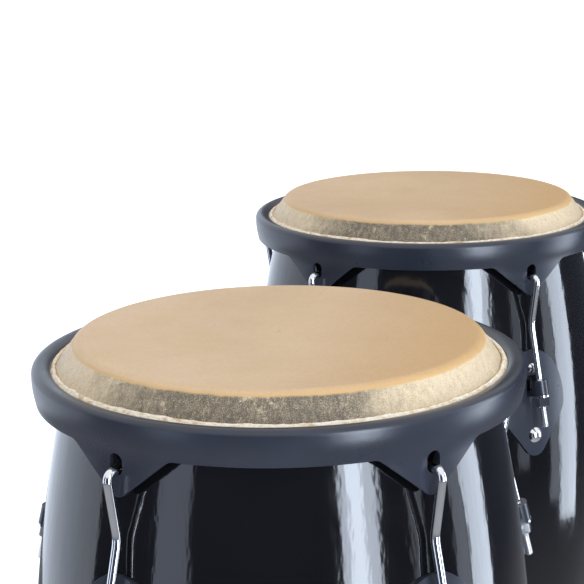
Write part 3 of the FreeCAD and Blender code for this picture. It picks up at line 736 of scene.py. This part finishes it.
def shell_face(offset, count):
    """One face of the shell from its neck to its foot."""
    points = []
    for end, depths in ((SHELL_NECK, np.linspace(SHELL_NECK[1], SHELL_BELLY[1], count)),
                        (SHELL_FOOT, np.linspace(SHELL_BELLY[1], SHELL_FOOT[1], count)[1:])):
        radius = swell(end) + offset
        reach = np.sqrt(radius ** 2 - (depths - SHELL_BELLY[1]) ** 2)
        points.append(np.stack([SHELL_BELLY[0] - swell(end) + reach, depths], axis=-1))
    return np.vstack(points)


def shell_piece(drum):
    """Lacquered shell with a rounded bearing edge."""
    columns = 360
    angles = angles_round(columns)
    outer = shell_face(0.0, 40)
    inner = shell_face(-SHELL_WALL, 40)[::-1]
    rim = [(HEAD_FLAT_RADIUS + past, SHELL_TOP + below) for past, below in BEARING_EDGE]
    section = np.vstack([rim, outer, inner])
    sections = np.repeat(section[None], columns, axis=0)
    piece = ring_object(drum.name + "_lacquered_shell", drum, sections, angles)
    mark_sharp(piece, 40)
    finish_piece(piece, drum.shell_body, "shell_lacquer", drum.name + "_shell")


def build_drum(drum, seed):
    """Every piece of one drum that this script shapes itself."""
    head_piece(drum, seed)
    lap_piece(drum, seed + LAP_SEED_STEP)
    crown_piece(drum)
    shell_piece(drum)
    for lug in LUGS:
        hook_piece(drum, lug)


SLOT_OF_NODE = {entry["node"]: entry["material_slot"] for entry in frame["record"]["subparts"]}
for node_name, node in frame["nodes"].items():
    dress(node, MATERIALS[SLOT_OF_NODE[node_name]])

for number, drum_name in enumerate(DRUMS):
    build_drum(Drum(drum_name), DRUM_SEED_STEP * number + FIRST_SEED)


# --- Stage, light and camera -------------------------------------------------------------------
FLOOR_REACH = 60.0
PANEL_DISTANCE = 4.5
CAMERA_BESIDE_AXIS = (-1.05815, -0.3035)
CAMERA_ABOVE_HEAD = 0.2930
CAMERA_LENS = 103.42                     # millimetres, on a sensor 36 mm wide
CAMERA_FORWARD = (0.9636, 0.2674, 0.0)   # level direction of view
CAMERA_PITCH = 0.237                     # radians down
CAMERA_ROLL = 0.015


def make_floor():
    """Wide pale floor that does not show in reflections."""
    reach = FLOOR_REACH
    corners = [(-reach, -reach, 0), (reach, -reach, 0), (reach, reach, 0), (-reach, reach, 0)]
    floor = new_object("floor", corners, [(0, 1, 2, 3)])
    s = Shader("pale_floor")
    s.set(Base_Color=(0.93, 0.93, 0.93, 1.0), Roughness=0.9, Specular_IOR_Level=0.0,
          Emission_Color=(1.0, 1.0, 1.0, 1.0), Emission_Strength=0.3)
    dress(floor, s.material)
    floor.visible_glossy = False


def make_world():
    """Bright sky overhead, a dark blue-grey band at the horizon and a dim glow from below."""
    world = bpy.data.worlds.new("studio")
    bpy.context.scene.world = world
    world.use_nodes = True
    nodes, links = world.node_tree.nodes, world.node_tree.links
    place = nodes.new("ShaderNodeTexCoord")
    split = nodes.new("ShaderNodeSeparateXYZ")
    links.new(place.outputs["Generated"], split.inputs["Vector"])
    half = nodes.new("ShaderNodeMath")
    half.operation = "MULTIPLY_ADD"
    half.inputs[1].default_value = 0.5
    half.inputs[2].default_value = 0.5
    links.new(split.outputs["Z"], half.inputs[0])
    ramp = nodes.new("ShaderNodeValToRGB")
    stops = ((-1.0, (0.45, 0.46, 0.48)), (-0.5, (0.30, 0.31, 0.33)), (-0.26, (0.05, 0.056, 0.075)),
             (0.28, (0.05, 0.056, 0.075)), (0.50, (0.92, 0.93, 0.95)), (1.0, (1.0, 1.0, 1.0)))
    elements = ramp.color_ramp.elements
    while len(elements) < len(stops):
        elements.new(0.5)
    for element, (height, colour) in zip(elements, stops):
        element.position = height / 2 + 0.5
        element.color = (*colour, 1.0)
    links.new(half.outputs[0], ramp.inputs["Fac"])
    background = nodes["Background"]
    links.new(ramp.outputs["Color"], background.inputs["Color"])
    background.inputs["Strength"].default_value = 1.15


def make_panel(name, azimuth, width_degrees, bottom, top, radiance, colour):
    """Upright soft panel facing the drums, seen at an azimuth (degrees) from between them."""
    light = bpy.data.lights.new(name, "AREA")
    light.shape = "RECTANGLE"
    width = 2 * PANEL_DISTANCE * math.tan(math.radians(width_degrees / 2))
    height = top - bottom
    light.size = width
    light.size_y = height
    light.energy = radiance * math.pi * width * height
    light.color = colour
    panel = bpy.data.objects.new(name, light)
    turn = math.radians(azimuth)
    panel.location = (PANEL_DISTANCE * math.cos(turn), PANEL_DISTANCE * math.sin(turn), (bottom + top) / 2)
    panel.rotation_euler = (math.pi / 2, 0, turn + math.pi / 2)
    panel.visible_camera = False
    bpy.context.scene.collection.objects.link(panel)


def make_lights():
    """Panels whose reflections are the bright bands down the lacquer."""
    cool = (0.77, 0.86, 1.0)
    blue = (0.70, 0.80, 1.0)
    make_panel("panel_front", -131, 17, -1.0, 2.6, 10.0, cool)
    make_panel("panel_front_core", -132, 8, -1.0, 2.6, 7.0, cool)
    make_panel("panel_right", -65, 16, -1.2, 2.6, 7.0, cool)
    make_panel("panel_right_dim", -78, 8, -1.0, 2.2, 1.6, cool)
    make_panel("panel_right_faint", -103, 8, -0.6, 1.8, 1.2, cool)
    make_panel("panel_behind_left", 60, 88, -1.2, 2.6, 1.35, cool)
    make_panel("panel_left_front", 147, 16, -0.8, 2.0, 1.7, blue)


def make_camera():
    """Camera close above the first drum, looking down across it at the second."""
    camera = bpy.data.cameras.new("camera")
    camera.sensor_width = 36.0
    camera.lens = CAMERA_LENS
    camera.clip_end = 200.0
    holder = bpy.data.objects.new("camera", camera)
    bpy.context.scene.collection.objects.link(holder)
    level = Vector(CAMERA_FORWARD).normalized()
    forward = level * math.cos(CAMERA_PITCH) - Vector((0, 0, 1)) * math.sin(CAMERA_PITCH)
    right = forward.cross(Vector((0, 0, 1))).normalized()
    up = right.cross(forward)
    rolled_right = right * math.cos(CAMERA_ROLL) - up * math.sin(CAMERA_ROLL)
    rolled_up = up * math.cos(CAMERA_ROLL) + right * math.sin(CAMERA_ROLL)
    turn = Matrix((rolled_right, rolled_up, -forward)).transposed().to_4x4()
    drum = Drum(DRUMS[0])
    place = (drum.axis[0] + CAMERA_BESIDE_AXIS[0], drum.axis[1] + CAMERA_BESIDE_AXIS[1],
             drum.head + CAMERA_ABOVE_HEAD)
    holder.matrix_world = Matrix.Translation(place) @ turn
    bpy.context.scene.camera = holder


make_floor()
make_world()
make_lights()
make_camera()
bpy.context.scene.view_settings.view_transform = "Standard"
